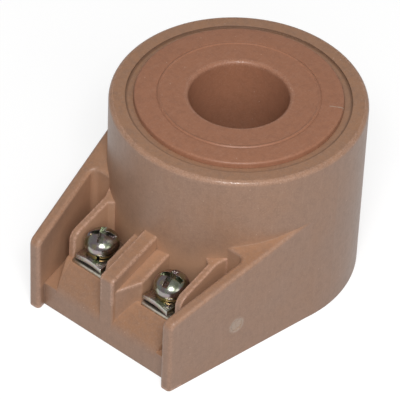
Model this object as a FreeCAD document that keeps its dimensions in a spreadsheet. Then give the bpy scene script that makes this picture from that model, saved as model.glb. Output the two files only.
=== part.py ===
import FreeCAD, Part
import math
import os
import Sketcher

# Moulded solenoid valve coil with two screw terminals, in millimetres.
# The origin is on the bore's axis, in the plane that the coil stands on.
# +Z runs up the bore, and -Y runs out over the terminal block.

SIZES = [
    ("body_diameter", 50.0, "outside of the round encapsulation"),
    ("body_height", 38.4, "bottom face to the top of the rim"),
    ("rim_width", 3.2, "flat rim round the top face"),
    ("ledge_width", 1.6, "sunk ring between the rim and the bobbin flange"),
    ("ledge_depth", 0.45, "depth of that ring below the rim"),
    ("rim_edge_radius", 1.0, "rounding of the top outer edge"),
    ("bore_diameter", 19.4, "clear bore for the valve's core tube"),
    ("tube_wall", 1.2, "wall of the bobbin tube"),
    ("bore_lip_radius", 0.8, "rounding at the top mouth of the bore"),
    ("flange_thickness", 2.4, "thickness of each bobbin flange"),
    ("flange_standout", 0.75, "top flange above the rim"),
    ("flange_edge_chamfer", 0.3, "bevel of the top flange's edge"),
    ("bead_diameter", 30.9, "moulded ring line on the top flange"),
    ("bead_height", 0.15, "height of the ring line"),
    ("bead_width", 0.7, "width of the ring line at its foot"),
    ("winding_margin", 2.6, "flange overhang past the winding"),
    ("tape_thickness", 0.35, "wrap of insulating tape round the winding"),
    ("terminal_height", 10.3, "compartment floor above the bottom face"),
    ("base_thickness", 5.6, "floor of the cored pockets above the bottom face"),
    ("base_reach", 12.6, "front face of the base in front of the round body"),
    ("ramp_blend_radius", 4.0, "rounding where the front face runs into the ramp"),
    ("ramp_top_radius", 1.2, "rounding where the ramp meets the compartment floor"),
    ("ramp_lip", 0.2, "compartment floor in front of the terminal plate"),
    ("screw_pitch", 17.7, "distance between the two terminal screws"),
    ("screw_standoff", 3.9, "screw axis in front of the round body"),
    ("bay_width", 3.9, "screw axis to the thin wall outside its compartment"),
    ("cheek_thickness", 1.5, "thin wall outside each compartment"),
    ("cheek_rise", 7.45, "top of that wall above the compartment floor"),
    ("cheek_reach", 3.9, "foot of that wall in front of the screw axis"),
    ("cheek_lean", 0.5, "backward lean of that wall's front edge"),
    ("cheek_corner_radius", 2.8, "rounding of its upper front corner"),
    ("cheek_rear", 3.8, "its rear rise behind the body's front line"),
    ("cheek_rear_radius", 1.8, "rounding where its top turns up along the body"),
    ("cheek_rear_drop", 1.0, "top of that rise below the wing's sloped top"),
    ("pocket_front_width", 1.2, "cored pocket beside the wing, at the front line"),
    ("pocket_overrun", 5.0, "rear wall of the pocket behind the body's front line"),
    ("pocket_corner_radius", 1.2, "rounding of the pocket's rear corner"),
    ("wing_front_width", 2.55, "front face of each side wing"),
    ("wing_lead", 2.0, "wings in front of the base's front face"),
    ("wing_rise", 6.6, "wing top at its front, above the compartment floor"),
    ("wing_nose_radius", 1.8, "rounding of the wing's upper front corner"),
    ("wing_edge_radius", 0.8, "rounding of the wing's edges"),
    ("wing_inset", 0.05, "how far the wing's plane lies inside the body's tangent"),
    ("top_slope", 15.0, "slope of the wing tops and rib tops, in degrees"),
    ("cut_margin", 5.0, "overrun of cutting outlines past the part"),
    ("centre_rib_width", 3.3, "thickness of the barrier between the compartments"),
    ("centre_rib_rise", 6.2, "its top at the front, above the compartment floor"),
    ("side_rib_width", 2.85, "lower rib on each side of the barrier"),
    ("side_rib_rise", 3.1, "lower rib's top at the front, above the floor"),
    ("side_rib_setback", 0.8, "lower ribs behind the barrier's front face"),
    ("side_rib_cut", 4.5, "length of the slanted front end of the lower ribs"),
    ("rib_root", 3.9, "run of the ribs into the round body's wall"),
    ("rib_edge_radius", 0.4, "rounding of rib and cheek edges"),
    ("rib_corner_radius", 1.0, "rounding of the barrier's upper front corner"),
    ("plate_width", 7.6, "terminal plate across the compartment"),
    ("plate_thickness", 0.8, "sheet of the terminal plate"),
    ("plate_standout", 0.5, "terminal plate above the compartment floor"),
    ("plate_reach", 4.3, "terminal plate in front of the screw axis"),
    ("plate_back", 3.6, "wide part of the plate behind the screw axis"),
    ("tail_width", 3.6, "narrow tail of the plate inside the moulding"),
    ("tail_embed", 4.8, "end of the tail behind the body's front line"),
    ("clamp_width", 6.6, "saddle clamp across the compartment"),
    ("clamp_length", 8.0, "saddle clamp along the wire"),
    ("clamp_sheet", 1.0, "sheet of the saddle clamp"),
    ("clamp_arch", 0.9, "rise of the saddle clamp's middle"),
    ("clamp_bend_radius", 2.4, "bends of the saddle clamp"),
    ("clamp_hole_clearance", 1.0, "diameter added where the screw passes the clamp"),
    ("clamp_shift", 0.4, "right clamp off its screw's axis, towards the barrier"),
    ("clamp_turn", 4.0, "right clamp as it was left when screwed down, in degrees"),
    ("screw_diameter", 3.5, "thread of the terminal screw"),
    ("screw_hole_clearance", 0.3, "diameter added where the screw passes a sheet"),
    ("head_diameter", 7.0, "screw head"),
    ("head_height", 3.0, "screw head"),
    ("head_side_height", 1.4, "cylindrical rim of the screw head"),
    ("dome_inset", 0.5, "corner of the dome's outline in from the head's side"),
    ("dome_drop", 0.2, "that corner below the top of the head"),
    ("dome_radius", 1.6, "rounding of the dome's corner"),
    ("recess_width", 1.0, "arms of the cross recess"),
    ("recess_span", 4.4, "cross recess from tip to tip"),
    ("recess_depth", 1.3, "cross recess"),
    ("slot_width", 0.8, "slot through the head"),
    ("slot_depth", 0.8, "slot through the head"),
    ("screw_tip_length", 1.2, "screw thread showing below the nut"),
    ("screw_chamfer", 0.5, "lead-in at the screw's end"),
    ("washer_diameter", 6.2, "spring washer outside"),
    ("washer_thickness", 1.1, "spring washer wire height"),
    ("washer_gap", 12.0, "split of the spring washer, in degrees"),
    ("nut_width", 6.0, "square nut across flats"),
    ("nut_thickness", 2.4, "square nut"),
    ("nut_corner_radius", 0.3, "corners of the square nut"),
    ("well_clearance", 0.5, "room below the screw's end in the moulding"),
    ("lead_diameter", 0.6, "magnet wire leads"),
    ("lead_bend_radius", 1.0, "bends of the start lead"),
    ("lead_rise_gap", 0.9, "start lead's rise in front of the flange edge"),
    ("lead_lift", 0.15, "leads above the tails that they are soldered to"),
    ("sleeve_wall", 0.4, "insulating sleeve on each lead"),
    ("sleeve_end_gap", 1.2, "bare start lead beside each end of its sleeve"),
    ("sleeve_tape_gap", 0.6, "bare finish lead between the tape and its sleeve"),
    ("sleeve_tail_gap", 0.4, "bare finish lead between its sleeve and the tail"),
    ("solder_radius", 1.0, "solder bead on each tail"),
    ("solder_setback", 0.35, "solder bead in from the end of the tail"),
    ("mark_radius", 1.3, "round ejector mark on the right wing"),
    ("mark_depth", 0.15, "depth of that mark"),
    ("mark_height", 8.3, "centre of that mark above the bottom face"),
    ("mark_setback", 16.2, "centre of that mark behind the wing's front"),
]

# Derived places, as expressions on the sizes above.
BODY_R = "(Sizes.body_diameter / 2)"
BORE_R = "(Sizes.bore_diameter / 2)"
TUBE_R = f"({BORE_R} + Sizes.tube_wall)"
RIM_R = f"({BODY_R} - Sizes.rim_width)"
FLANGE_R = f"({RIM_R} - Sizes.ledge_width)"
WINDING_R = f"({FLANGE_R} - Sizes.winding_margin)"
TAPE_R = f"({WINDING_R} + Sizes.tape_thickness)"
COIL_TOP = "(Sizes.body_height + Sizes.flange_standout)"
FLANGE_UNDER = f"({COIL_TOP} - Sizes.flange_thickness)"

FLOOR = "Sizes.terminal_height"
BASE_FRONT = f"(-{BODY_R} - Sizes.base_reach)"
WING_FRONT = f"({BASE_FRONT} - Sizes.wing_lead)"
SCREW_Y = f"(-{BODY_R} - Sizes.screw_standoff)"
SCREW_X = "(Sizes.screw_pitch / 2)"
BAY_INNER = "(Sizes.centre_rib_width / 2 + Sizes.side_rib_width)"
BAY_OUTER = f"({SCREW_X} + Sizes.bay_width)"
CHEEK_OUTER = f"({BAY_OUTER} + Sizes.cheek_thickness)"
WING_INNER = f"({CHEEK_OUTER} + Sizes.pocket_front_width)"
WING_OUTER = f"({WING_INNER} + Sizes.wing_front_width)"
POCKET_REAR = f"(-{BODY_R} + Sizes.pocket_overrun)"
TANGENT_R = f"({BODY_R} - Sizes.wing_inset)"
FLARE = f"(asin({TANGENT_R} / sqrt({WING_OUTER}^2 + {WING_FRONT}^2)) - atan({WING_OUTER} / -{WING_FRONT}))"
TANGENT_X = f"({TANGENT_R} * cos({FLARE}))"
TANGENT_Y = f"(-{TANGENT_R} * sin({FLARE}))"
SLOPE = "tan(Sizes.top_slope * 1 deg)"
RIB_BACK = f"(-{BODY_R} + Sizes.rib_root)"

PLATE_TOP = f"({FLOOR} + Sizes.plate_standout)"
PLATE_UNDER = f"({PLATE_TOP} - Sizes.plate_thickness)"
PLATE_FRONT = f"({SCREW_Y} - Sizes.plate_reach)"
TAIL_END = f"(-{BODY_R} + Sizes.tail_embed)"
CLAMP_CROWN = f"({PLATE_TOP} + Sizes.clamp_arch + Sizes.clamp_sheet)"
HEAD_UNDER = f"({CLAMP_CROWN} + Sizes.washer_thickness)"
NUT_UNDER = f"({PLATE_UNDER} - Sizes.nut_thickness)"
SCREW_END = f"({NUT_UNDER} - Sizes.screw_tip_length)"
HOLE_R = "((Sizes.screw_diameter + Sizes.screw_hole_clearance) / 2)"
CLAMP_HOLE_R = "((Sizes.screw_diameter + Sizes.clamp_hole_clearance) / 2)"
LEAD_R = "(Sizes.lead_diameter / 2)"
LEAD_TOP_Z = f"({PLATE_TOP} + Sizes.lead_lift + {LEAD_R})"
LEAD_LOW_Z = f"(Sizes.flange_thickness - {LEAD_R})"
LEAD_RISE_Y = f"(-sqrt({FLANGE_R}^2 - {SCREW_X}^2) - Sizes.lead_rise_gap)"
LEAD_END_Y = f"({TAIL_END} - Sizes.solder_setback - Sizes.solder_radius)"
TAPE_Y = f"(-sqrt({TAPE_R}^2 - {SCREW_X}^2))"
WINDING_Y = f"(-sqrt({WINDING_R}^2 - {SCREW_X}^2))"
TUBE_Y = f"(-sqrt({TUBE_R}^2 - {SCREW_X}^2))"

SHORTEST_WING_EDGE = f"(0.9 * ({POCKET_REAR} - {WING_FRONT}))"

SIDES = {"left": -1, "right": 1}
NEAR = 0.01

doc = FreeCAD.newDocument("SolenoidValveCoil")
sheet = doc.addObject("Spreadsheet::Sheet", "Sizes")
for row, (alias, size, meaning) in enumerate(SIZES, start=1):
    sheet.set(f"A{row}", alias)
    sheet.set(f"B{row}", str(size))
    sheet.set(f"C{row}", meaning)
    sheet.setAlias(f"B{row}", alias)
doc.recompute()


def number(expression):
    """The present value of an expression on the sizes, in millimetres or degrees."""
    found = sheet.evalExpression(expression.replace("Sizes.", ""))
    return float(getattr(found, "Value", found))


def new_body(label):
    body = doc.addObject("PartDesign::Body", label)
    body.Label = label
    return body


def new_sketch(body, name, role, offset="0"):
    """A sketch on one of the body's own origin planes, moved along the plane's normal."""
    sketch = body.newObject("Sketcher::SketchObject", name)
    plane = [item for item in body.Origin.OriginFeatures if item.Role == role][0]
    sketch.AttachmentSupport = [(plane, "")]
    sketch.MapMode = "FlatFace"
    sketch.setExpression("AttachmentOffset.Base.z", offset)
    return sketch


def fix_point(sketch, geometry, position, place):
    """Hold one sketch point at the two expressions in place."""
    for kind, expression in zip(("DistanceX", "DistanceY"), place):
        value = number(expression)
        index = sketch.addConstraint(Sketcher.Constraint(kind, -1, 1, geometry, position, value))
        sketch.setExpression(f"Constraints[{index}]", expression)


def add_circle(sketch, centre, radius):
    middle = FreeCAD.Vector(number(centre[0]), number(centre[1]), 0)
    circle = Part.Circle(middle, FreeCAD.Vector(0, 0, 1), number(radius))
    geometry = sketch.addGeometry(circle)
    fix_point(sketch, geometry, 3, centre)
    index = sketch.addConstraint(Sketcher.Constraint("Radius", geometry, number(radius)))
    sketch.setExpression(f"Constraints[{index}]", radius)


def corner_arc(before, corner, after, radius):
    """Start, end and centre of the arc that rounds a corner, and whether it turns left."""
    back = (before - corner).normalize()
    ahead = (after - corner).normalize()
    half = back.getAngle(ahead) / 2
    reach = radius / math.tan(half)
    start = corner + back * reach
    end = corner + ahead * reach
    centre = corner + (back + ahead).normalize() * (radius / math.sin(half))
    turns_left = (corner - before).cross(after - corner).z > 0
    return start, end, centre, turns_left


def add_outline(sketch, corners, closed=True):
    """Lines through corners of (x, y) or (x, y, radius) expressions, rounded where a radius is given."""
    places = [FreeCAD.Vector(number(corner[0]), number(corner[1]), 0) for corner in corners]
    count = len(corners)
    inner = range(count) if closed else range(1, count - 1)
    arcs = {}
    for index in inner:
        if len(corners[index]) == 3:
            before, after = places[index - 1], places[(index + 1) % count]
            arcs[index] = corner_arc(before, places[index], after, number(corners[index][2]))
    lines = []
    for index in range(count if closed else count - 1):
        following = (index + 1) % count
        start = arcs[index][1] if index in arcs else places[index]
        end = arcs[following][0] if following in arcs else places[following]
        lines.append(sketch.addGeometry(Part.LineSegment(start, end)))
    for index, corner in enumerate(corners):
        place = corner[:2]
        if index in arcs:
            round_corner(sketch, lines[index - 1], lines[index], places[index], arcs[index], corner)
        elif closed or 0 < index < count - 1:
            sketch.addConstraint(Sketcher.Constraint("Coincident", lines[index - 1], 2, lines[index], 1))
            fix_point(sketch, lines[index], 1, place)
        elif index == 0:
            fix_point(sketch, lines[0], 1, place)
        else:
            fix_point(sketch, lines[-1], 2, place)


def round_corner(sketch, incoming, outgoing, place, arc, corner):
    """An arc tangent to two lines, whose sharp corner is kept as a construction point."""
    start, end, centre, turns_left = arc
    first, last = (start, end) if turns_left else (end, start)
    circle = Part.Circle(centre, FreeCAD.Vector(0, 0, 1), number(corner[2]))
    first_angle = math.atan2(first.y - centre.y, first.x - centre.x)
    last_angle = math.atan2(last.y - centre.y, last.x - centre.x)
    geometry = sketch.addGeometry(Part.ArcOfCircle(circle, first_angle, last_angle))
    entry, leaving = (1, 2) if turns_left else (2, 1)
    point = sketch.addGeometry(Part.Point(place), True)
    fix_point(sketch, point, 1, corner[:2])
    sketch.addConstraint(Sketcher.Constraint("PointOnObject", point, 1, incoming))
    sketch.addConstraint(Sketcher.Constraint("PointOnObject", point, 1, outgoing))
    sketch.addConstraint(Sketcher.Constraint("Tangent", incoming, 2, geometry, entry))
    sketch.addConstraint(Sketcher.Constraint("Tangent", geometry, leaving, outgoing, 1))
    index = sketch.addConstraint(Sketcher.Constraint("Radius", geometry, number(corner[2])))
    sketch.setExpression(f"Constraints[{index}]", corner[2])


def pad(body, name, sketch, length, both_ways=False):
    feature = body.newObject("PartDesign::Pad", name)
    feature.Profile = sketch
    feature.setExpression("Length", length)
    feature.SideType = "Symmetric" if both_ways else "One side"
    doc.recompute()
    return feature


def pocket(body, name, sketch, length=None, upwards=True, both_ways=False):
    """Cut away the sketch's area, along the sketch plane's normal when upwards is set."""
    before = body.Shape.Volume
    feature = body.newObject("PartDesign::Pocket", name)
    feature.Profile = sketch
    feature.Reversed = upwards
    feature.SideType = "Symmetric" if both_ways else "One side"
    if length is None:
        feature.Type = "ThroughAll"
    else:
        feature.setExpression("Length", length)
    doc.recompute()
    if feature.Shape.Volume >= before:
        raise RuntimeError(f"{name} removes nothing")
    return feature


def revolve(body, name, sketch, angle="360"):
    feature = body.newObject("PartDesign::Revolution", name)
    feature.Profile = sketch
    feature.ReferenceAxis = (sketch, ["V_Axis"])
    feature.setExpression("Angle", angle)
    doc.recompute()
    return feature


def groove(body, name, sketch):
    """Turn the sketch's area out of the body, all the way round the Z axis."""
    before = body.Shape.Volume
    feature = body.newObject("PartDesign::Groove", name)
    feature.Profile = sketch
    feature.ReferenceAxis = (sketch, ["V_Axis"])
    feature.Angle = 360
    doc.recompute()
    if feature.Shape.Volume >= before:
        raise RuntimeError(f"{name} removes nothing")
    return feature


def round_edges(body, name, radius, wanted):
    """Round every edge of the body's last feature for which wanted is true."""
    base = body.Tip
    edges = [f"Edge{index}" for index, edge in enumerate(base.Shape.Edges, start=1) if wanted(edge)]
    if not edges:
        raise RuntimeError(f"{name} finds no edge")
    feature = body.newObject("PartDesign::Fillet", name)
    feature.Base = (base, edges)
    feature.setExpression("Radius", radius)
    doc.recompute()
    if feature.Shape.isNull():
        raise RuntimeError(f"{name} leaves no shape")
    return feature


def ends(edge):
    return [vertex.Point for vertex in edge.Vertexes]


def slope_line(y, front, rise):
    """Height expression of a sloped top at y, from its height above the floor at its front."""
    return f"({FLOOR} + {rise} + ({y} - {front}) * {SLOPE})"


def across(side, inner, outer):
    """Sketch offset and length of a pad that spans inner to outer on one side of the middle."""
    offset = inner if side > 0 else f"(-{outer})"
    return offset, f"({outer} - {inner})"


def cut_slope(body, name, front, rise):
    """Cut away everything above the sloped top that starts at front, over the whole width."""
    ahead = f"({front} - Sizes.cut_margin)"
    above = f"({slope_line('0', front, rise)} + Sizes.cut_margin)"
    sketch = new_sketch(body, f"{name}Profile", "YZ_Plane")
    add_outline(sketch, [
        (ahead, slope_line(ahead, front, rise)),
        ("0", slope_line("0", front, rise)),
        ("0", above),
        (ahead, above),
    ])
    return pocket(body, name, sketch, both_ways=True)


def on_slope(edge, front, rise):
    """Whether both ends of an edge lie on the sloped top that starts at front."""
    return all(abs(point.z - number(slope_line(str(point.y), front, rise))) < NEAR for point in ends(edge))


def at_y(edge, y):
    return all(abs(point.y - number(y)) < NEAR for point in ends(edge))


def at_x(edge, x):
    return all(abs(abs(point.x) - number(x)) < NEAR for point in ends(edge))


def at_z(edge, z):
    return all(abs(point.z - number(z)) < NEAR for point in ends(edge))


def runs_across(edge):
    """Whether an edge runs along X, straight across the part."""
    first, last = ends(edge)[0], ends(edge)[-1]
    return abs(last.x - first.x) > edge.Length - NEAR


def add_wings(body):
    """Side wings that leave the round body at a tangent, with the floor of the cored pockets."""
    for word, side in SIDES.items():
        middle = f"({WING_INNER} + Sizes.wing_front_width / 2)"
        sketch = new_sketch(body, f"PocketFloorOutline_{word}", "XY_Plane")
        add_outline(sketch, [
            (f"({side} * {BAY_OUTER})", BASE_FRONT),
            (f"({side} * {middle})", BASE_FRONT),
            (f"({side} * ({middle} + ({POCKET_REAR} - {BASE_FRONT}) * tan({FLARE})))", POCKET_REAR),
            (f"({side} * {BAY_OUTER})", POCKET_REAR),
        ])
        pad(body, f"PocketFloor_{word}", sketch, "Sizes.base_thickness")
        sketch = new_sketch(body, f"WingOutline_{word}", "XY_Plane")
        inner_rear = f"({WING_INNER} + ({POCKET_REAR} - {WING_FRONT}) * tan({FLARE}))"
        add_outline(sketch, [
            (f"({side} * {WING_OUTER})", WING_FRONT),
            (f"({side} * {TANGENT_X})", TANGENT_Y),
            (f"({side} * {CHEEK_OUTER})", TANGENT_Y),
            (f"({side} * {CHEEK_OUTER})", POCKET_REAR),
            (f"({side} * {inner_rear})", POCKET_REAR, "Sizes.pocket_corner_radius"),
            (f"({side} * {WING_INNER})", WING_FRONT),
        ])
        pad(body, f"Wing_{word}", sketch, slope_line("0", WING_FRONT, "Sizes.wing_rise"))
    cut_slope(body, "WingTops", WING_FRONT, "Sizes.wing_rise")

    def on_wing(edge):
        return all(abs(point.x) > number(WING_INNER) - NEAR for point in ends(edge))

    def nose_edge(edge):
        top_front = on_slope(edge, WING_FRONT, "Sizes.wing_rise") and at_y(edge, WING_FRONT)
        return on_wing(edge) and top_front

    round_edges(body, "WingNose", "Sizes.wing_nose_radius", nose_edge)

    def wing_edge(edge):
        long_top = on_slope(edge, WING_FRONT, "Sizes.wing_rise") and edge.Length > number(SHORTEST_WING_EDGE)
        front = at_y(edge, WING_FRONT)
        return on_wing(edge) and not runs_across(edge) and (long_top or front)

    round_edges(body, "WingRounding", "Sizes.wing_edge_radius", wing_edge)


def add_cheeks(body):
    """Thin walls outside the compartments, which turn up along the round body at the rear."""
    foot = f"({SCREW_Y} - Sizes.cheek_reach)"
    top = f"({FLOOR} + Sizes.cheek_rise)"
    rise_y = f"(-{BODY_R} + Sizes.cheek_rear)"
    rise_top = f"({slope_line(rise_y, WING_FRONT, 'Sizes.wing_rise')} - Sizes.cheek_rear_drop)"
    for word, side in SIDES.items():
        offset, width = across(side, BAY_OUTER, CHEEK_OUTER)
        sketch = new_sketch(body, f"CheekProfile_{word}", "YZ_Plane", offset)
        add_outline(sketch, [
            (foot, "0"),
            (f"({foot} + Sizes.cheek_lean)", top, "Sizes.cheek_corner_radius"),
            (rise_y, top, "Sizes.cheek_rear_radius"),
            (rise_y, rise_top),
            (POCKET_REAR, rise_top),
            (POCKET_REAR, "0"),
        ])
        pad(body, f"Cheek_{word}", sketch, width)

    def cheek_edge(edge):
        on_side = at_x(edge, BAY_OUTER) or at_x(edge, CHEEK_OUTER)
        in_front = all(point.y < number(rise_y) + NEAR for point in ends(edge))
        return on_side and in_front and not at_z(edge, "0")

    round_edges(body, "CheekRounding", "Sizes.rib_edge_radius", cheek_edge)


def add_barrier(body):
    """The tall rib between the compartments, with a lower rib on each side of it."""
    half = "(Sizes.centre_rib_width / 2)"
    lower_front = f"({BASE_FRONT} + Sizes.side_rib_setback)"
    sketch = new_sketch(body, "SideRibOutline", "XY_Plane")
    add_outline(sketch, [
        (f"(-{half})", lower_front),
        (half, lower_front),
        (BAY_INNER, f"({lower_front} + Sizes.side_rib_cut)"),
        (BAY_INNER, RIB_BACK),
        (f"(-{BAY_INNER})", RIB_BACK),
        (f"(-{BAY_INNER})", f"({lower_front} + Sizes.side_rib_cut)"),
    ])
    above = "(Sizes.side_rib_rise + Sizes.cut_margin)"
    pad(body, "SideRibs", sketch, slope_line(RIB_BACK, BASE_FRONT, above))
    cut_side_ribs(body)

    def side_rib_edge(edge):
        if not in_barrier(edge) or at_y(edge, RIB_BACK):
            return False
        on_top = on_slope(edge, BASE_FRONT, "Sizes.side_rib_rise") and not at_y(edge, lower_front)
        upright = at_x(edge, BAY_INNER) and ends(edge)[0].y == ends(edge)[-1].y
        return upright or on_top

    round_edges(body, "SideRibRounding", "Sizes.rib_edge_radius", side_rib_edge)
    sketch = new_sketch(body, "CentreRibProfile", "YZ_Plane")
    add_outline(sketch, [
        (BASE_FRONT, "0"),
        (BASE_FRONT, slope_line(BASE_FRONT, BASE_FRONT, "Sizes.centre_rib_rise"), "Sizes.rib_corner_radius"),
        (RIB_BACK, slope_line(RIB_BACK, BASE_FRONT, "Sizes.centre_rib_rise")),
        (RIB_BACK, "0"),
    ])
    pad(body, "CentreRib", sketch, "Sizes.centre_rib_width", both_ways=True)

    def centre_rib_edge(edge):
        top_or_front = on_slope(edge, BASE_FRONT, "Sizes.centre_rib_rise") or at_y(edge, BASE_FRONT)
        return in_barrier(edge) and at_x(edge, half) and top_or_front and not runs_across(edge)

    round_edges(body, "CentreRibRounding", "Sizes.rib_edge_radius", centre_rib_edge)


def in_barrier(edge):
    return all(abs(point.x) < number(BAY_INNER) + NEAR for point in ends(edge))


def cut_side_ribs(body):
    """Slope the tops of the lower ribs, without touching the cheeks."""
    above = "(Sizes.side_rib_rise + Sizes.cut_margin)"
    ahead = f"({BASE_FRONT} - Sizes.cut_margin)"
    sketch = new_sketch(body, "SideRibSlope", "YZ_Plane")
    add_outline(sketch, [
        (ahead, slope_line(ahead, BASE_FRONT, "Sizes.side_rib_rise")),
        ("0", slope_line("0", BASE_FRONT, "Sizes.side_rib_rise")),
        ("0", slope_line("0", BASE_FRONT, above)),
        (ahead, slope_line("0", BASE_FRONT, above)),
    ])
    pocket(body, "SideRibTops", sketch, f"(2 * {BAY_INNER})", both_ways=True)


def add_ramp_block(body):
    """The compartment floors, which run down into the front face by a rounded ramp."""
    sketch = new_sketch(body, "RampProfile", "YZ_Plane")
    add_outline(sketch, [
        (BASE_FRONT, "0"),
        (BASE_FRONT, "Sizes.base_thickness", "Sizes.ramp_blend_radius"),
        (f"({PLATE_FRONT} - Sizes.ramp_lip)", FLOOR, "Sizes.ramp_top_radius"),
        (RIB_BACK, FLOOR),
        (RIB_BACK, "0"),
    ])
    pad(body, "RampBlock", sketch, f"(2 * {BAY_OUTER})", both_ways=True)


def add_mark(body):
    """Shallow round mark of an ejector pin on the right wing's outer face."""
    sketch = new_sketch(body, "MarkOutline", "YZ_Plane")
    sketch.AttachmentOffset = FreeCAD.Placement(
        FreeCAD.Vector(0, 0, 0), FreeCAD.Rotation(FreeCAD.Vector(0, 1, 0), -number(FLARE)))
    sketch.setExpression("AttachmentOffset.Base.x", WING_FRONT)
    sketch.setExpression("AttachmentOffset.Base.z", WING_OUTER)
    sketch.setExpression("AttachmentOffset.Rotation.Angle", f"-{FLARE}")
    add_circle(sketch, ("Sizes.mark_setback", "Sizes.mark_height"), "Sizes.mark_radius")
    pocket(body, "EjectorMark", sketch, "Sizes.mark_depth", upwards=False)


def make_moulding():
    """The brown encapsulation: round body, wings, cheeks, barrier and terminal floors."""
    body = new_body("moulding_form")
    add_cheeks(body)
    add_wings(body)
    add_barrier(body)
    add_ramp_block(body)
    add_mark(body)
    sketch = new_sketch(body, "RoundBodyProfile", "XZ_Plane")
    ledge = "(Sizes.body_height - Sizes.ledge_depth)"
    add_outline(sketch, [
        ("0", "0"),
        (BODY_R, "0"),
        (BODY_R, "Sizes.body_height", "Sizes.rim_edge_radius"),
        (RIM_R, "Sizes.body_height"),
        (RIM_R, ledge),
        ("0", ledge),
    ])
    revolve(body, "RoundBody", sketch)
    sketch = new_sketch(body, "CoilCavityProfile", "XZ_Plane")
    add_outline(sketch, [
        ("0", "-Sizes.cut_margin"),
        (FLANGE_R, "-Sizes.cut_margin"),
        (FLANGE_R, "Sizes.flange_thickness"),
        (TAPE_R, "Sizes.flange_thickness"),
        (TAPE_R, FLANGE_UNDER),
        (FLANGE_R, FLANGE_UNDER),
        (FLANGE_R, f"({COIL_TOP} + Sizes.cut_margin)"),
        ("0", f"({COIL_TOP} + Sizes.cut_margin)"),
    ])
    groove(body, "CoilCavity", sketch)
    sketch = new_sketch(body, "ScrewWells", "XY_Plane", f"({SCREW_END} - Sizes.well_clearance)")
    for side in SIDES.values():
        add_circle(sketch, (f"({side} * {SCREW_X})", SCREW_Y), HOLE_R)
    pocket(body, "ScrewWell", sketch, f"({FLOOR} - {SCREW_END} + Sizes.well_clearance)")
    return body


def make_bobbin():
    """Tube and two flanges in one moulding, with a slot for the start lead."""
    body = new_body("bobbin")
    sketch = new_sketch(body, "BobbinProfile", "XZ_Plane")
    bead = "(Sizes.bead_diameter / 2)"
    add_outline(sketch, [
        (BORE_R, "0"),
        (FLANGE_R, "0"),
        (FLANGE_R, "Sizes.flange_thickness"),
        (TUBE_R, "Sizes.flange_thickness"),
        (TUBE_R, FLANGE_UNDER),
        (FLANGE_R, FLANGE_UNDER),
        (FLANGE_R, f"({COIL_TOP} - Sizes.flange_edge_chamfer)"),
        (f"({FLANGE_R} - Sizes.flange_edge_chamfer)", COIL_TOP),
        (f"({bead} + Sizes.bead_width / 2)", COIL_TOP),
        (bead, f"({COIL_TOP} + Sizes.bead_height)"),
        (f"({bead} - Sizes.bead_width / 2)", COIL_TOP),
        (BORE_R, COIL_TOP, "Sizes.bore_lip_radius"),
    ])
    revolve(body, "BobbinTurned", sketch)
    sketch = new_sketch(body, "LeadSlotOutline", "XY_Plane", f"({LEAD_LOW_Z} - {LEAD_R})")
    add_outline(sketch, [
        (f"(-{SCREW_X} - {LEAD_R})", f"(-{FLANGE_R})"),
        (f"(-{SCREW_X} + {LEAD_R})", f"(-{FLANGE_R})"),
        (f"(-{SCREW_X} + {LEAD_R})", f"({TUBE_Y} - {LEAD_R})"),
        (f"(-{SCREW_X} - {LEAD_R})", f"({TUBE_Y} - {LEAD_R})"),
    ])
    pocket(body, "LeadSlot", sketch, "Sizes.lead_diameter")
    return body


def make_winding():
    body = new_body("winding")
    sketch = new_sketch(body, "WindingProfile", "XZ_Plane")
    add_outline(sketch, [
        (TUBE_R, "Sizes.flange_thickness"),
        (WINDING_R, "Sizes.flange_thickness"),
        (WINDING_R, FLANGE_UNDER),
        (TUBE_R, FLANGE_UNDER),
    ])
    revolve(body, "WindingTurns", sketch)
    return body


def make_tape():
    """The tape wrap, with the hole that the finish lead comes out of."""
    body = new_body("winding_tape")
    sketch = new_sketch(body, "TapeProfile", "XZ_Plane")
    add_outline(sketch, [
        (WINDING_R, "Sizes.flange_thickness"),
        (TAPE_R, "Sizes.flange_thickness"),
        (TAPE_R, FLANGE_UNDER),
        (WINDING_R, FLANGE_UNDER),
    ])
    revolve(body, "TapeWrap", sketch)
    sketch = new_sketch(body, "LeadHoleOutline", "XZ_Plane")
    add_circle(sketch, (SCREW_X, LEAD_TOP_Z), LEAD_R)
    pocket(body, "LeadHole", sketch)
    return body


def make_pipe(label, x, route, radius, inner_radius=None):
    """A round bar or tube along a route of (y, z) corners in the plane at x."""
    body = new_body(label)
    path = new_sketch(body, f"{label}_path", "YZ_Plane", x)
    add_outline(path, route, closed=False)
    along_y = route[0][1] == route[1][1]
    role, start = ("XZ_Plane", f"(-{route[0][0]})") if along_y else ("XY_Plane", route[0][1])
    centre = (x, route[0][1]) if along_y else (x, route[0][0])
    profile = new_sketch(body, f"{label}_section", role, start)
    add_circle(profile, centre, radius)
    if inner_radius:
        add_circle(profile, centre, inner_radius)
    doc.recompute()
    pipe = body.newObject("PartDesign::AdditivePipe", f"{label}_pipe")
    pipe.Profile = profile
    pipe.Spine = path
    doc.recompute()
    return body


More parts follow.
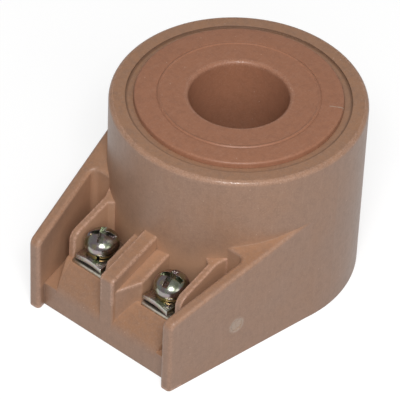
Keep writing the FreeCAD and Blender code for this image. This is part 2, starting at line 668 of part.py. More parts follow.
def make_leads():
    """Start lead on the left terminal and finish lead on the right one, each with its sleeve."""
    bend = "Sizes.lead_bend_radius"
    left = f"(-{SCREW_X})"
    sleeve_r = f"({LEAD_R} + Sizes.sleeve_wall)"
    start_y = f"({TUBE_Y} - {LEAD_R})"
    rise_low = f"({LEAD_LOW_Z} + Sizes.sleeve_end_gap)"
    rise_high = f"({LEAD_TOP_Z} - Sizes.sleeve_end_gap)"
    start = make_pipe("lead_start", left, [
        (start_y, LEAD_LOW_Z),
        (LEAD_RISE_Y, LEAD_LOW_Z, bend),
        (LEAD_RISE_Y, LEAD_TOP_Z, bend),
        (LEAD_END_Y, LEAD_TOP_Z),
    ], LEAD_R)
    finish = make_pipe("lead_finish", SCREW_X, [
        (WINDING_Y, LEAD_TOP_Z),
        (LEAD_END_Y, LEAD_TOP_Z),
    ], LEAD_R)
    start_sleeve = make_pipe("lead_sleeve_start", left, [
        (LEAD_RISE_Y, rise_low),
        (LEAD_RISE_Y, rise_high),
    ], sleeve_r, LEAD_R)
    finish_sleeve = make_pipe("lead_sleeve_finish", SCREW_X, [
        (f"({TAPE_Y} - Sizes.sleeve_tape_gap)", LEAD_TOP_Z),
        (f"({TAIL_END} + Sizes.sleeve_tail_gap)", LEAD_TOP_Z),
    ], sleeve_r, LEAD_R)
    return start, finish, start_sleeve, finish_sleeve


def make_plate(word, side):
    """Terminal plate: a wide pad in the compartment and a narrow tail inside the moulding."""
    body = new_body(f"terminal_plate_{word}")
    sketch = new_sketch(body, "PlateOutline", "XY_Plane", PLATE_UNDER)
    middle = f"({side} * {SCREW_X})"
    back = f"({SCREW_Y} + Sizes.plate_back)"
    corners = []
    for sign in (-1, 1):
        wide = f"({middle} + {sign} * Sizes.plate_width / 2)"
        narrow = f"({middle} + {sign} * Sizes.tail_width / 2)"
        half = [(narrow, TAIL_END), (narrow, back), (wide, back), (wide, PLATE_FRONT)]
        corners += half if sign < 0 else reversed(half)
    add_outline(sketch, corners)
    add_circle(sketch, (middle, SCREW_Y), HOLE_R)
    pad(body, "Plate", sketch, "Sizes.plate_thickness")
    return body


def make_nut(word, side):
    body = new_body(f"captive_nut_{word}")
    sketch = new_sketch(body, "NutOutline", "XY_Plane", NUT_UNDER)
    middle = f"({side} * {SCREW_X})"
    half = "Sizes.nut_width / 2"
    add_outline(sketch, [
        (f"({middle} - {half})", f"({SCREW_Y} - {half})", "Sizes.nut_corner_radius"),
        (f"({middle} + {half})", f"({SCREW_Y} - {half})", "Sizes.nut_corner_radius"),
        (f"({middle} + {half})", f"({SCREW_Y} + {half})", "Sizes.nut_corner_radius"),
        (f"({middle} - {half})", f"({SCREW_Y} + {half})", "Sizes.nut_corner_radius"),
    ])
    add_circle(sketch, (middle, SCREW_Y), "(Sizes.screw_diameter / 2)")
    pad(body, "Nut", sketch, "Sizes.nut_thickness")
    return body


def place_at_terminal(body, side, height):
    """Stand a piece that is modelled about its own axis on the screw's axis."""
    body.setExpression("Placement.Base.x", f"{side} * {SCREW_X}")
    body.setExpression("Placement.Base.y", SCREW_Y)
    body.setExpression("Placement.Base.z", height)


def make_clamp(word, side):
    """Saddle clamp: a square plate arched across the wire, with a clearance hole."""
    body = new_body(f"saddle_clamp_{word}")
    sketch = new_sketch(body, "ClampSection", "XZ_Plane")
    half = "(Sizes.clamp_width / 2)"
    crown = "(Sizes.clamp_width / 4)"
    rise = "Sizes.clamp_arch"
    sheet_top = "Sizes.clamp_sheet"
    bend = "Sizes.clamp_bend_radius"
    add_outline(sketch, [
        (f"(-{half})", "0"),
        (f"(-{crown})", rise, bend),
        (crown, rise, bend),
        (half, "0"),
        (half, sheet_top),
        (crown, f"({rise} + {sheet_top})", bend),
        (f"(-{crown})", f"({rise} + {sheet_top})", bend),
        (f"(-{half})", sheet_top),
    ])
    pad(body, "ClampArch", sketch, "Sizes.clamp_length", both_ways=True)
    sketch = new_sketch(body, "ClampHoleOutline", "XY_Plane")
    add_circle(sketch, ("0", "0"), CLAMP_HOLE_R)
    pocket(body, "ClampHole", sketch)
    place_at_terminal(body, side, PLATE_TOP)
    if word == "right":
        body.setExpression("Placement.Base.x", f"{SCREW_X} - Sizes.clamp_shift")
        body.setExpression("Placement.Rotation.Angle", "-Sizes.clamp_turn")
    return body


def make_washer(word, side):
    """Spring washer, split over a few degrees."""
    body = new_body(f"spring_washer_{word}")
    sketch = new_sketch(body, "WasherSection", "XZ_Plane")
    add_outline(sketch, [
        (HOLE_R, "0"),
        ("(Sizes.washer_diameter / 2)", "0"),
        ("(Sizes.washer_diameter / 2)", "Sizes.washer_thickness"),
        (HOLE_R, "Sizes.washer_thickness"),
    ])
    revolve(body, "WasherTurn", sketch, "360 - Sizes.washer_gap")
    place_at_terminal(body, side, CLAMP_CROWN)
    return body


def make_screw(word, side):
    """Pan-head screw with a cross recess and a slot, modelled from the underside of its head."""
    body = new_body(f"terminal_screw_{word}")
    shank = "(Sizes.screw_diameter / 2)"
    head = "(Sizes.head_diameter / 2)"
    tip = f"({SCREW_END} - {HEAD_UNDER})"
    sketch = new_sketch(body, "ScrewProfile", "XZ_Plane")
    add_outline(sketch, [
        ("0", tip),
        (f"({shank} - Sizes.screw_chamfer)", tip),
        (shank, f"({tip} + Sizes.screw_chamfer)"),
        (shank, "0"),
        (head, "0"),
        (head, "Sizes.head_side_height"),
        (f"({head} - Sizes.dome_inset)", "(Sizes.head_height - Sizes.dome_drop)", "Sizes.dome_radius"),
        ("0", "Sizes.head_height"),
    ])
    revolve(body, "ScrewTurned", sketch)
    arm = "(Sizes.recess_width / 2)"
    reach = "(Sizes.recess_span / 2)"
    sketch = new_sketch(body, "RecessOutline", "XY_Plane", "(Sizes.head_height - Sizes.recess_depth)")
    cross = []
    for turn in range(4):
        towards = ((1, 0), (0, 1), (-1, 0), (0, -1))[turn]
        for along, beside in ((reach, f"-{arm}"), (reach, arm), (arm, arm)):
            cross.append((
                f"({towards[0]} * ({along}) - {towards[1]} * ({beside}))",
                f"({towards[1]} * ({along}) + {towards[0]} * ({beside}))",
            ))
    add_outline(sketch, cross)
    pocket(body, "Recess", sketch)
    sketch = new_sketch(body, "SlotOutline", "XY_Plane", "(Sizes.head_height - Sizes.slot_depth)")
    slot = "(Sizes.slot_width / 2)"
    reach_past = f"({head} + Sizes.cut_margin)"
    add_outline(sketch, [
        (f"(-{reach_past})", f"(-{slot})"),
        (reach_past, f"(-{slot})"),
        (reach_past, slot),
        (f"(-{reach_past})", slot),
    ])
    pocket(body, "Slot", sketch)
    place_at_terminal(body, side, HEAD_UNDER)
    return body


def make_solder(word, side, lead):
    """Half bead of solder over the end of a lead, on the tail of its plate."""
    bead = doc.addObject("Part::Sphere", f"solder_bead_{word}")
    bead.setExpression("Radius", "Sizes.solder_radius")
    bead.Angle1 = 0
    bead.setExpression("Placement.Base.x", f"{side} * {SCREW_X}")
    bead.setExpression("Placement.Base.y", f"{LEAD_END_Y}")
    bead.setExpression("Placement.Base.z", PLATE_TOP)
    joint = doc.addObject("Part::Cut", f"solder_joint_{word}")
    joint.Label = f"solder_joint_{word}"
    joint.Base = bead
    joint.Tool = lead
    doc.recompute()
    return joint


moulding = make_moulding()
bobbin = make_bobbin()
winding = make_winding()
tape = make_tape()
lead_start, lead_finish, sleeve_start, sleeve_finish = make_leads()
nodes = [bobbin, winding, tape, lead_start, lead_finish, sleeve_start, sleeve_finish]
embedded = [lead_start, lead_finish, sleeve_start, sleeve_finish]
leads = {"left": lead_start, "right": lead_finish}
for word, side in SIDES.items():
    plate = make_plate(word, side)
    nut = make_nut(word, side)
    solder = make_solder(word, side, leads[word])
    embedded += [plate, nut, solder]
    nodes += [plate, nut, solder]
    nodes += [make_clamp(word, side), make_washer(word, side), make_screw(word, side)]

inserts = doc.addObject("Part::MultiFuse", "moulded_in_pieces")
inserts.Shapes = embedded
housing = doc.addObject("Part::Cut", "housing")
housing.Label = "housing"
housing.Base = moulding
housing.Tool = inserts
nodes.append(housing)
doc.recompute()

for item in doc.Objects:
    if "Invalid" in item.State or "Error" in item.State:
        raise RuntimeError(f"{item.Label} failed: {item.State}")
for node in nodes:
    shape = node.Shape
    if shape.isNull() or not shape.isValid() or not shape.Solids:
        raise RuntimeError(f"{node.Label} has no valid solid")
    print(node.Label, "solids", len(shape.Solids), "volume", round(shape.Volume, 2))

os.makedirs("parts", exist_ok=True)
for node in nodes:
    node.Shape.exportStep(f"parts/{node.Label}.step")
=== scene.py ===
# %% [markdown]
# # A moulded solenoid valve coil
#
# The part is the coil of a solenoid valve: a round brown moulding with a bore for the valve's core
# tube, and a terminal block with two screw clamps between winged walls. The solid shapes come from
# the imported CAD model, which is loaded first and never changed. This lesson gives them their looks,
# and makes finer pieces where the camera sees them closely: the small metal pieces, the bobbin and
# the thin walls beside the terminals.

import math

import bmesh
import bpy
from mathutils import Matrix, Vector


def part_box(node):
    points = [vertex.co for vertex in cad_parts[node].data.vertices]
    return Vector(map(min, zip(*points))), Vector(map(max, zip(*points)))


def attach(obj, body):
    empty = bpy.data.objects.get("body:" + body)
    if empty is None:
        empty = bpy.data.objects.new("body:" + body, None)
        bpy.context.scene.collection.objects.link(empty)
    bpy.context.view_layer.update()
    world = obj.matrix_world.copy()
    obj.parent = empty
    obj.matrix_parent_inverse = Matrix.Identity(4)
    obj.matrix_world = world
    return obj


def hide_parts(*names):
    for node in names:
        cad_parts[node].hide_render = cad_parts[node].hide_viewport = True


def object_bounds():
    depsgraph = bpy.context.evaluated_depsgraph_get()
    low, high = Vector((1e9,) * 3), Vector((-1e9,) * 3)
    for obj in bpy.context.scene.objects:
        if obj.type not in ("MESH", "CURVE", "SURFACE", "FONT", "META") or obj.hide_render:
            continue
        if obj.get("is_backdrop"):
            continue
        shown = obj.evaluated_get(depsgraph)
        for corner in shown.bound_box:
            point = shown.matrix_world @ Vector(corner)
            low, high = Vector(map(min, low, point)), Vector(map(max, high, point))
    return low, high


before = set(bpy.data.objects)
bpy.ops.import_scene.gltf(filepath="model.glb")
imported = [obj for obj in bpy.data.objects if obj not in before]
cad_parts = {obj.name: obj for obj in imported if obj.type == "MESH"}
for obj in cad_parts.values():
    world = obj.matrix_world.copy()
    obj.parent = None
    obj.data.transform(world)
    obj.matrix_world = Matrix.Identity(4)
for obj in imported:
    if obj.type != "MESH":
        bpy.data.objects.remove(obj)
CAD_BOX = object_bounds()
MM = 0.001
print("nodes", len(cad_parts), "box", [tuple(round(v, 4) for v in corner) for corner in CAD_BOX])

# %% [markdown]
# ## Camera
#
# The photograph was taken with a long lens, from above and to the right of the terminals. A camera
# model was fitted to the circles of the top face, which gave the angles below. Everything is stated
# for a picture of 400 by 400 pixels. The aim moves the camera sideways, so no lens shift is needed.

# %% Camera at the photograph's angle
PICTURE = 400
SENSOR = 36.0
view = {"azimuth": 39.0, "elevation": 41.748, "roll": 2.513, "distance": 627.0,
        "pixels_per_mm": 5.228, "aim_right": 38.98, "aim_up": 101.99, "aim_height": 38.109}


def camera_axes(azimuth, elevation, roll):
    """The camera's right, up and backward directions."""
    a, e, r = (math.radians(angle) for angle in (azimuth, elevation, roll))
    back = Vector((math.sin(a) * math.cos(e), -math.cos(a) * math.cos(e), math.sin(e)))
    level = Vector((math.cos(a), math.sin(a), 0))
    upright = back.cross(level)
    right = math.cos(r) * level + math.sin(r) * upright
    up = -math.sin(r) * level + math.cos(r) * upright
    return right, up, back


right, up, back = camera_axes(view["azimuth"], view["elevation"], view["roll"])
aim = Vector((0, 0, view["aim_height"]))
aim -= right * view["aim_right"] / view["pixels_per_mm"]
aim -= up * view["aim_up"] / view["pixels_per_mm"]
place = aim + back * view["distance"]
lens = view["pixels_per_mm"] * view["distance"] * SENSOR / PICTURE
camera_data = bpy.data.cameras.new("camera")
camera_data.lens = lens
camera_data.sensor_width = SENSOR
camera_data.clip_start = 0.05
camera_data.clip_end = 20
camera = bpy.data.objects.new("camera", camera_data)
camera.matrix_world = Matrix((
    (right.x, up.x, back.x, place.x * MM),
    (right.y, up.y, back.y, place.y * MM),
    (right.z, up.z, back.z, place.z * MM),
    (0, 0, 0, 1),
))
bpy.context.scene.collection.objects.link(camera)
bpy.context.scene.camera = camera
print("lens", round(lens, 1), "mm, camera at", [round(v * MM, 3) for v in place])

# %% [markdown]
# ## Nodes written as Python
#
# Both materials and shapes are made of nodes. A small class wraps a socket, so that sums, products
# and comparisons can be written as in any other Python code, and one method makes every other node.

# %% A socket that can be used in sums
class Wire:
    """An output socket of a node tree, with Python's operators."""

    def __init__(self, tree, socket=None):
        self.tree = tree
        self.socket = socket

    def node(self, kind, settings=None, inputs=None, output=0, stops=None):
        """Make a node: its settings first, then the values or wires of its sockets."""
        made = self.tree.nodes.new(kind)
        for name, value in (settings or {}).items():
            setattr(made, name, value)
        if stops:
            ramp = made.color_ramp
            while len(ramp.elements) < len(stops):
                ramp.elements.new(0.5)
            for element, (position, colour) in zip(ramp.elements, stops):
                element.position = position
                element.color = tuple(colour) + (1,) if len(colour) == 3 else tuple(colour)
        for name, value in (inputs or {}).items():
            self.feed(made.inputs[name], value)
        return Wire(self.tree, made.outputs[output])

    def feed(self, socket, value):
        if isinstance(value, Wire):
            self.tree.links.new(value.socket, socket)
        elif isinstance(value, list):
            for each in value:
                self.tree.links.new(each.socket, socket)
        elif socket.type == "RGBA" and len(value) == 3:
            socket.default_value = tuple(value) + (1,)
        else:
            socket.default_value = value

    def maths(self, operation, *others):
        inputs = {0: self}
        inputs.update(enumerate(others, start=1))
        return self.node("ShaderNodeMath", {"operation": operation}, inputs)

    def __add__(self, other):
        return self.maths("ADD", other)

    def __sub__(self, other):
        return self.maths("SUBTRACT", other)

    def __mul__(self, other):
        return self.maths("MULTIPLY", other)

    def __truediv__(self, other):
        return self.maths("DIVIDE", other)

    def __gt__(self, other):
        return self.maths("GREATER_THAN", other)

    def __lt__(self, other):
        return self.maths("LESS_THAN", other)

    __radd__ = __add__
    __rmul__ = __mul__

    def __rsub__(self, other):
        return self.node("ShaderNodeMath", {"operation": "SUBTRACT"}, {0: other, 1: self})

    def part(self, axis):
        return self.node("ShaderNodeSeparateXYZ", {}, {0: self}, "XYZ".index(axis))

    def ramp(self, *stops):
        """A colour that follows this value through stops of (position, colour)."""
        return self.node("ShaderNodeValToRGB", {}, {0: self}, 0, stops)

    def between(self, low, high):
        """0 below low, 1 above high and smooth between them."""
        settings = {"interpolation_type": "SMOOTHSTEP"}
        return self.node("ShaderNodeMapRange", settings, {"Value": self, "From Min": low, "From Max": high})

    def blend(self, first, second):
        """Mix two colours by this value."""
        inputs = {0: self, 6: first, 7: second}
        return self.node("ShaderNodeMix", {"data_type": "RGBA"}, inputs, 2)


# %% [markdown]
# Patterns are measured in millimetres of the object itself. A noise at a scale of 1 then changes
# about once a millimetre, and `stretched` draws it out along an axis, as the flow of a moulding does.

# %% Patterns in millimetres
def start_material(name, roughness, **settings):
    """A new material, the wire that makes its nodes, and its main shader."""
    material = bpy.data.materials.new(name)
    material.use_nodes = True
    shader = material.node_tree.nodes["Principled BSDF"]
    shader.inputs["Roughness"].default_value = roughness
    for socket, value in settings.items():
        shader.inputs[socket.replace("_", " ")].default_value = value
    wire = Wire(material.node_tree)
    return material, wire, shader


def object_mm(wire):
    """Object coordinates in millimetres."""
    place = wire.node("ShaderNodeTexCoord", {}, {}, "Object")
    return wire.node("ShaderNodeVectorMath", {"operation": "SCALE"}, {0: place, "Scale": 1 / MM})


def stretched(place, stretch):
    return place.node("ShaderNodeVectorMath", {"operation": "MULTIPLY"}, {0: place, 1: stretch})


def noise(place, scale, detail=3.0, roughness=0.55, distortion=0.0):
    inputs = {"Vector": place, "Scale": scale, "Detail": detail, "Roughness": roughness,
              "Distortion": distortion}
    return place.node("ShaderNodeTexNoise", {}, inputs)


def specks(place, scale, share, size):
    """1 in small round spots, in the given share of the cells of a grid of random points."""
    settings = {"feature": "F1"}
    near = place.node("ShaderNodeTexVoronoi", settings, {"Vector": place, "Scale": scale}, "Distance")
    chance = place.node("ShaderNodeTexVoronoi", settings, {"Vector": place, "Scale": scale}, "Color")
    chosen = chance.node("ShaderNodeSeparateColor", {}, {0: chance}, 0) < share
    return (near < size) * chosen


def bumps(wire, height, distance, strength=1.0, normal=None):
    """A normal that follows a height, whose full range is distance in millimetres."""
    inputs = {"Height": height, "Distance": distance * MM, "Strength": strength}
    if normal is not None:
        inputs["Normal"] = normal
    return wire.node("ShaderNodeBump", {}, inputs)


def rounded_normal(wire, radius):
    """The surface's normal, turned near sharp edges as if they had this radius in millimetres."""
    return wire.node("ShaderNodeBevel", {"samples": 6}, {"Radius": radius * MM})


def corners(wire, reach, inside, only_local=True):
    """1 in outer corners when inside is set, or in inner ones, within a reach in millimetres."""
    settings = {"inside": inside, "only_local": only_local, "samples": 8}
    openness = wire.node("ShaderNodeAmbientOcclusion", settings, {"Distance": reach * MM}, "AO")
    return 1 - openness


def spot(place, centre, radius, soft):
    """1 within a radius of a point, fading out over the soft width, in millimetres."""
    distance = place.node("ShaderNodeVectorMath", {"operation": "DISTANCE"}, {0: place, 1: centre}, "Value")
    return 1 - distance.between(radius - soft, radius)


# %% [markdown]
# ## Brown moulding compound
#
# The body is a mineral-filled thermosetting resin, matt to satin and tan-brown. Faces that look up
# are blended towards a warmer tint, which is painted light for how the light falls on tops and
# sides. Patches, streaks along the mould's pull, a fine grain and pale specks of filler are blended
# in one after another. Light that bounces about in the hollows is painted in as a paler and redder
# tint, and painted shade darkens the inner corners and the step inside the rim. The edges are rubbed
# to a paler pink that also stands for painted edge highlights, painted highlights sit on the rim's
# outer edge and the bore's lip, and a thin bump gives the orange-peel skin that such mouldings have.

# %% Moulding finish
RIM = {"top": 38.4, "step": 21.8, "edge_inside": 24.1, "edge_height": 0.75, "below": 0.02}
EJECTOR_MARK = {"centre": (20.97, -23.67, 8.3), "radius": 2.1, "soft": 0.7}
SCRATCH = {"angle": 31.0, "width": 0.11, "inner": 17.4, "outer": 20.6}
BORE_LIP = {"outside": 10.6, "above": 38.2, "share": 0.45}
# Reach and heights of the painted bounce light in the hollows.
HOLLOW = {"reach": 9.0, "low": (5.0, 5.6), "high": (36, 37.5)}
# Reach and heights of the rubbed edges, which carry a painted edge highlight too.
WORN_AND_HIGHLIT = {"reach": 0.9, "low": 10.4, "high": 36, "wing_front": 41}
# Tints: painted bounce light in the hollows, filler specks, rubbed edges with a painted edge highlight, the
# ejector mark, and a painted highlight on polished edges.
TINTS = {"painted_bounce_light": (0.55, 0.31, 0.185), "speck": (0.54, 0.37, 0.29), "rubbed": (0.62, 0.38, 0.28),
         "mark": (0.46, 0.37, 0.30), "glint_and_polish": (0.60, 0.39, 0.30)}


def radius_of(place):
    """The distance from the bore's axis."""
    return (place.part("X").maths("POWER", 2) + place.part("Y").maths("POWER", 2)).maths("SQRT")


def scratch_mask(place):
    """A short radial scratch on the top face."""
    angle = place.part("Y").maths("ARCTAN2", place.part("X"))
    radius = radius_of(place)
    aside = (angle - math.radians(SCRATCH["angle"])).maths("ABSOLUTE") * radius
    return (aside < SCRATCH["width"]) * (radius > SCRATCH["inner"]) * (radius < SCRATCH["outer"])


def wing_marks(place):
    """The round mark that an ejector pin left on the right wing."""
    return spot(place, EJECTOR_MARK["centre"], EJECTOR_MARK["radius"], EJECTOR_MARK["soft"])


def rim_edge(place):
    """The rounded outer edge of the rim, which is smoother and gets a painted highlight."""
    return (radius_of(place) > RIM["edge_inside"]) * (place.part("Z") > RIM["top"] - RIM["edge_height"])


def bore_lip(place):
    """The rounded lip at the mouth of the bore, which is smoother and gets a painted highlight."""
    lip = (radius_of(place) < BORE_LIP["outside"]) * (place.part("Z") > BORE_LIP["above"])
    return lip * BORE_LIP["share"]


def painted_shade_places(wire, place, height):
    """Painted shade in inner corners, and at the step inside the rim."""
    crevice_shade = corners(wire, 0.9, False).between(0.25, 0.75)
    from_step = (radius_of(place) - RIM["step"]).maths("ABSOLUTE").between(0.20, 0.60)
    step = (1 - from_step) * (height > HOLLOW["high"][0]) * (height < RIM["top"] - RIM["below"])
    return crevice_shade.maths("MAXIMUM", step)


def worn_and_highlit_edges(wire, place, height, rubbed):
    """Outer edges of the terminal block, where a noise lets the rubbing show, with a painted edge highlight.
    """
    block = (height > WORN_AND_HIGHLIT["low"]) * (height < WORN_AND_HIGHLIT["high"])
    reached = block.maths("MAXIMUM", radius_of(place) > WORN_AND_HIGHLIT["wing_front"])
    return corners(wire, WORN_AND_HIGHLIT["reach"], True).between(0.06, 0.28) * rubbed.between(0.38, 0.56) * reached


def moulding_finish(name, base, painted_lit_tint, pale, roughness, streak_axis, marks, polish_and_glint):
    """The resin in three tints, one of them painted light on faces that look up, with masks for its marks
    and for the smoother edge that gets a painted highlight.
    """
    material, wire, shader = start_material(name, roughness, Specular_IOR_Level=0.5)
    place = object_mm(wire)
    height = place.part("Z")
    broad = noise(place, 0.09, 3.0)
    patches = noise(place, 0.8, 4.0, 0.7)
    grain = noise(place, 3.0, 3.0, 0.8)
    rubbed = noise(place, 2.0, 4.0, 0.75)
    streaks = noise(stretched(place, streak_axis), 1.6, 3.0, 0.6)
    # Painted light: faces that look up are blended towards the warmer lit tint, the others stay greyer.
    upright = wire.node("ShaderNodeNewGeometry", {}, {}, "Normal").part("Z").between(0.15, 0.75)
    colour = (upright * 0.7 + broad.between(0.35, 0.65) * 0.3).blend(base, painted_lit_tint)
    colour = (patches.between(0.42, 0.66) * 0.45).blend(colour, tuple(0.78 * part for part in base))
    colour = (streaks.between(0.50, 0.78) * 0.26).blend(colour, pale)
    colour = (grain.between(0.48, 0.68) * 0.45).blend(colour, pale)
    # Painted bounce light: the sunk hollows are made paler and redder.
    sunk = height.between(*HOLLOW["low"]) * (1 - height.between(*HOLLOW["high"]))
    painted_bounce_light = corners(wire, HOLLOW["reach"], False, only_local=False).between(0.12, 0.60) * sunk
    colour = (painted_bounce_light * 0.55).blend(colour, TINTS["painted_bounce_light"])
    # Painted shade in inner corners and at the step inside the rim.
    dark = painted_shade_places(wire, place, height)
    colour = (dark * 0.55).blend(colour, tuple(0.35 * part for part in painted_lit_tint))
    colour = (specks(place, 0.85, 0.12, 0.10) * 0.60).blend(colour, TINTS["speck"])
    # Rubbed paler edges, which also carry a painted edge highlight.
    wear_and_highlight = worn_and_highlit_edges(wire, place, height, rubbed)
    colour = (wear_and_highlight * 0.65).blend(colour, TINTS["rubbed"])
    colour = (marks(place) * rubbed.between(0.25, 0.55) * 0.65).blend(colour, TINTS["mark"])
    # Painted highlight on the rim's outer edge or the bore's lip, which are also less rough.
    glint_and_polish = polish_and_glint(place) * noise(place, 4.0, 2.0, 0.7).between(0.46, 0.58)
    colour = (glint_and_polish * 0.40).blend(colour, TINTS["glint_and_polish"])
    wire.feed(shader.inputs["Base Color"], colour)
    rough = roughness + (grain - 0.5) * 0.18 + (patches - 0.5) * 0.14 - wear_and_highlight * 0.14 - glint_and_polish * 0.25
    wire.feed(shader.inputs["Roughness"], rough)
    skin = noise(place, 2.2, 2.0, 0.5) * 0.6 + grain * 0.30 + streaks * 0.3
    wire.feed(shader.inputs["Normal"], bumps(wire, skin, 0.024, 1.0, rounded_normal(wire, 0.30)))
    return material


# The second colour of each finish is the painted lit tint of faces that look up.
BROWN = moulding_finish("brown_moulding", (0.300, 0.178, 0.120), (0.340, 0.176, 0.096),
                        (0.400, 0.250, 0.180), 0.42, (1.0, 1.0, 0.12), wing_marks, rim_edge)
REDDER = moulding_finish("bobbin_moulding", (0.332, 0.146, 0.084), (0.340, 0.147, 0.080),
                         (0.405, 0.208, 0.135), 0.40, (1.0, 0.15, 1.0), scratch_mask, bore_lip)
print("mouldings", BROWN.name, REDDER.name)

# %% [markdown]
# ## Metals and the hidden finishes
#
# The screws, clamps and washers are steel with a bright zinc plating. Its clear passivation shows
# faint khaki, violet and straw patches, so the colour runs through a ramp by a slow noise. Fine
# scratches come from a stretched noise. The winding, sleeves and tape are inside the moulding, but
# they are finished too, for anyone who takes the model apart.

# %% Plated metals
def metal_finish(name, tints, roughness, patch_scale, scratch=0.5):
    material, wire, shader = start_material(name, roughness, Metallic=1.0)
    place = object_mm(wire)
    patches = noise(place, patch_scale, 2.0, 0.5, 0.6)
    stops = [(0.30 + 0.40 * index / (len(tints) - 1), tint) for index, tint in enumerate(tints)]
    colour = patches.ramp(*stops)
    dirt = noise(place, 2.4, 4.0, 0.7).between(0.50, 0.80)
    colour = (dirt * 0.40).blend(colour, tuple(0.45 * part for part in tints[0]))
    wire.feed(shader.inputs["Base Color"], colour)
    scratches = noise(stretched(place, (0.5, 6.0, 6.0)), 2.5, 4.0, 0.75)
    wire.feed(shader.inputs["Roughness"], roughness + (dirt * 0.18) + (scratches - 0.5) * 0.10)
    rounded = rounded_normal(wire, 0.08)
    wire.feed(shader.inputs["Normal"], bumps(wire, scratches, 0.006, scratch, rounded))
    return material


ZINC = metal_finish("zinc_plating", [(0.24, 0.27, 0.18), (0.36, 0.38, 0.31), (0.33, 0.27, 0.30),
                                     (0.42, 0.37, 0.25)], 0.21, 0.45)
SHEET_ZINC = metal_finish("zinc_sheet", [(0.26, 0.29, 0.17), (0.46, 0.47, 0.40), (0.42, 0.36, 0.38),
                                         (0.50, 0.47, 0.36)], 0.24, 0.7, 2.5)
GOLDEN = metal_finish("washer_plating", [(0.62, 0.44, 0.16), (0.70, 0.54, 0.24),
                                         (0.50, 0.46, 0.38)], 0.34, 0.5)
BRASS = metal_finish("plated_brass", [(0.36, 0.33, 0.24), (0.50, 0.47, 0.41),
                                      (0.42, 0.37, 0.30)], 0.34, 0.6)
SOLDER = metal_finish("solder", [(0.52, 0.52, 0.54), (0.62, 0.62, 0.64)], 0.32, 0.8)


# %% Wire enamel, tape and sleeving
def enamel_finish():
    material, wire, shader = start_material("wire_enamel", 0.28, Metallic=0.7, Coat_Weight=0.6)
    place = object_mm(wire)
    turns = (place.part("Z") * (2 * math.pi / 0.2)).maths("SINE")
    tone = noise(place, 0.4, 2.0)
    wire.feed(shader.inputs["Base Color"], tone.ramp((0.3, (0.42, 0.16, 0.06)), (0.7, (0.60, 0.27, 0.10))))
    wire.feed(shader.inputs["Normal"], bumps(wire, turns, 0.05))
    return material


def wrap_finish(name, low, high, roughness, weave):
    material, wire, shader = start_material(name, roughness)
    place = object_mm(wire)
    tone = noise(place, 0.6, 3.0)
    wire.feed(shader.inputs["Base Color"], tone.ramp((0.3, low), (0.7, high)))
    threads = (place.part("Z") * weave).maths("SINE") * 0.5 + noise(place, 5.0) * 0.5
    wire.feed(shader.inputs["Roughness"], roughness + (tone - 0.5) * 0.2)
    wire.feed(shader.inputs["Normal"], bumps(wire, threads, 0.03))
    return material


ENAMEL = enamel_finish()
TAPE = wrap_finish("insulating_tape", (0.50, 0.38, 0.12), (0.66, 0.52, 0.20), 0.35, 1.2)
SLEEVE = wrap_finish("sleeving", (0.62, 0.58, 0.48), (0.76, 0.72, 0.62), 0.60, 14.0)

FINISH = {"housing": BROWN, "bobbin": REDDER, "winding": ENAMEL, "winding_tape": TAPE,
          "lead_start": ENAMEL, "lead_finish": ENAMEL, "lead_sleeve_start": SLEEVE,
          "lead_sleeve_finish": SLEEVE, "terminal_plate": BRASS, "captive_nut": ZINC,
          "solder_joint": SOLDER, "saddle_clamp": ZINC, "spring_washer": ZINC, "terminal_screw": ZINC}
for name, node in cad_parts.items():
    finish = FINISH[name] if name in FINISH else FINISH[name.rsplit("_", 1)[0]]
    node.data.materials.clear()
    node.data.materials.append(finish)
print("finished nodes", len(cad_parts))

# %% [markdown]
# ## Tools for the finer pieces
#
# The CAD solids stay as they are. Where the photograph shows a softer or finer form, a piece of the
# scene takes the solid's place: it sits at the same spot, rides on the same body and hides the node
# it stands for. Two ways to make such a piece are enough here. A flat outline is drawn out into a
# bar, with its edges rounded by a modifier, and an outline beside an axis is turned by nodes.

# %% Outlines and bars
def arc(centre, radius, first, last, steps):
    """Points of a round stretch of an outline, between two angles in degrees."""
    angles = [math.radians(first + (last - first) * step / steps) for step in range(steps + 1)]
    return [(centre[0] + radius * math.cos(a), centre[1] + radius * math.sin(a)) for a in angles]


def add_object(name, mesh):
    made = bpy.data.objects.new(name, mesh)
    bpy.context.scene.collection.objects.link(made)
    return made


def bar(name, outline, axis, low, high):
    """A solid whose outline lies across an axis, from low to high along it, in millimetres."""
    turn = {"X": lambda u, v, w: (w, u, v), "Y": lambda u, v, w: (u, w, v), "Z": lambda u, v, w: (u, v, w)}
    count = len(outline)
    points = [Vector(turn[axis](u, v, w)) * MM for w in (low, high) for u, v in outline]
    sides = [(i, (i + 1) % count, count + (i + 1) % count, count + i) for i in range(count)]
    mesh = bpy.data.meshes.new(name)
    mesh.from_pydata(points, [], [tuple(range(count)), tuple(range(count, 2 * count))] + sides)
    return add_object(name, tidy_mesh(mesh))


def tidy_mesh(mesh):
    """Merge doubled points and turn all faces outwards."""
    shape = bmesh.new()
    shape.from_mesh(mesh)
    bmesh.ops.remove_doubles(shape, verts=shape.verts, dist=0.001 * MM)
    bmesh.ops.recalc_face_normals(shape, faces=shape.faces)
    shape.to_mesh(mesh)
    shape.free()
    return mesh


def combine(piece, operation, *tools):
    """Cut the tools out of a piece, or keep what it shares with them, and delete the tools."""
    for tool in tools:
        step = piece.modifiers.new(operation.lower(), "BOOLEAN")
        step.operation = operation
        step.solver = "EXACT"
        step.object = tool
    bake(piece)
    for tool in tools:
        bpy.data.objects.remove(tool)
    return piece


def bake(piece):
    """Replace a piece's mesh by what its modifiers make of it."""
    view_of = bpy.context.evaluated_depsgraph_get()
    mesh = bpy.data.meshes.new_from_object(piece.evaluated_get(view_of))
    piece.modifiers.clear()
    piece.data = mesh
    return piece


